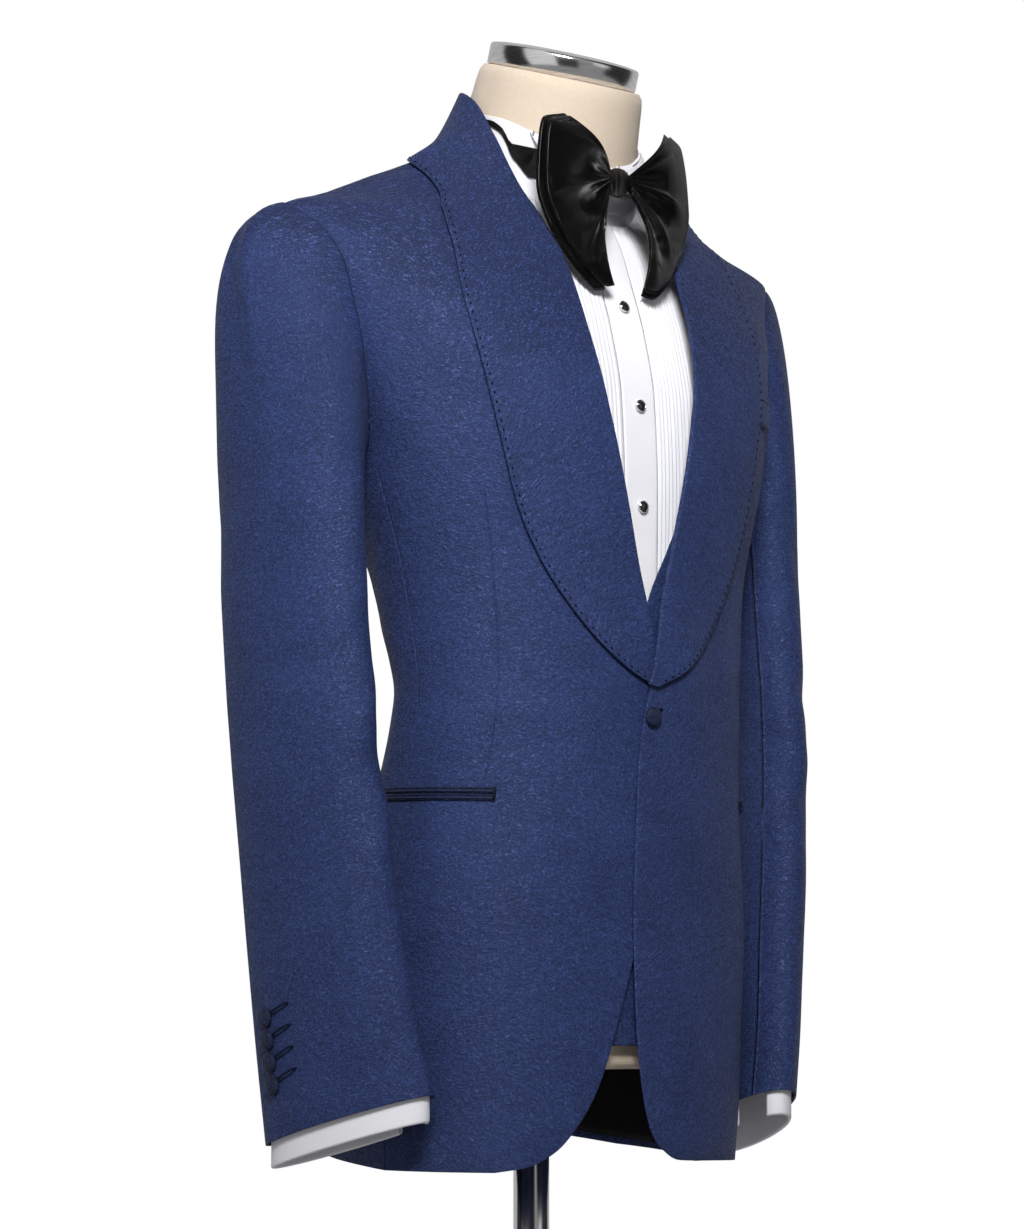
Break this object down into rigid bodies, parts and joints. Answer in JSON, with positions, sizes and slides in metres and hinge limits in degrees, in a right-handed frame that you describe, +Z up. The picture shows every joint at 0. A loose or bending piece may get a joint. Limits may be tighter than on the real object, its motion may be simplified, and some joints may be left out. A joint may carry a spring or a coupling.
{
  "type": "tuxedo on a limbless dress form",
  "caption": "Navy jacquard shawl-collar dinner jacket over a low vest, pleated shirt and satin bow tie, resting on a linen dress form with a pole and round base.",
  "frame": {"origin": "on the floor, at the centre of the base's underside, on the pole's axis", "axes": "+Z up; the front faces -Y; the wearer's left is +X"},
  "size_m": [0.5006, 0.34, 1.5898],
  "materials": {
    "navy_jacquard": "fine mottled jacquard, mid-blue on dark navy, with a soft satin sheen",
    "black_lining": "smooth black lining satin",
    "white_shirting": "matt fine cotton",
    "black_satin": "glossy black satin",
    "beige_linen": "natural plain-weave linen, stretched smooth",
    "brushed_chrome": "brushed and plated steel",
    "black_onyx": "polished black with a bright rim",
    "white_button": "polished white"
  },
  "bodies": {
    "root": {"back_left": "navy_jacquard", "back_lining": "black_lining", "back_right": "navy_jacquard", "base": "brushed_chrome", "bib_left": "white_shirting", "bib_right": "white_shirting", "bow_leaf_left_1": "black_satin", "bow_leaf_left_2": "black_satin", "bow_leaf_right_1": "black_satin", "bow_leaf_right_2": "black_satin", "breast_welt": "navy_jacquard", "collar_button": "white_button", "collar_left": "navy_jacquard", "collar_right": "navy_jacquard", "collar_wing_left": "white_shirting", "collar_wing_right": "white_shirting", "cuff_button_left_1": "navy_jacquard", "cuff_button_left_2": "navy_jacquard", "cuff_button_left_3": "navy_jacquard", "cuff_button_left_4": "navy_jacquard", "cuff_button_right_1": "navy_jacquard", "cuff_button_right_2": "navy_jacquard", "cuff_button_right_3": "navy_jacquard", "cuff_button_right_4": "navy_jacquard", "cuff_left": "white_shirting", "cuff_right": "white_shirting", "form_torso": "beige_linen", "front_button": "navy_jacquard", "front_left": "navy_jacquard", "front_right": "navy_jacquard", "neck_cap": "brushed_chrome", "placket": "white_shirting", "pocket_jet_lower_left": "navy_jacquard", "pocket_jet_lower_right": "navy_jacquard", "pocket_jet_upper_left": "navy_jacquard", "pocket_jet_upper_right": "navy_jacquard", "pole": "brushed_chrome", "shirt_back": "white_shirting", "shirt_collar": "white_shirting", "shirt_front_left": "white_shirting", "shirt_front_right": "white_shirting", "shirt_sleeve_under_left": "white_shirting", "shirt_sleeve_under_right": "white_shirting", "shirt_sleeve_upper_left": "white_shirting", "shirt_sleeve_upper_right": "white_shirting", "side_left": "navy_jacquard", "side_right": "navy_jacquard", "sleeve_under_left": "navy_jacquard", "sleeve_under_right": "navy_jacquard", "sleeve_upper_left": "navy_jacquard", "sleeve_upper_right": "navy_jacquard", "stud_1": "black_onyx", "stud_2": "black_onyx", "stud_3": "black_onyx", "tie_band": "black_satin", "tie_knot": "black_satin", "vest_back": "black_lining", "vest_front_left": "navy_jacquard", "vest_front_right": "navy_jacquard"}
  },
  "joints": []
}
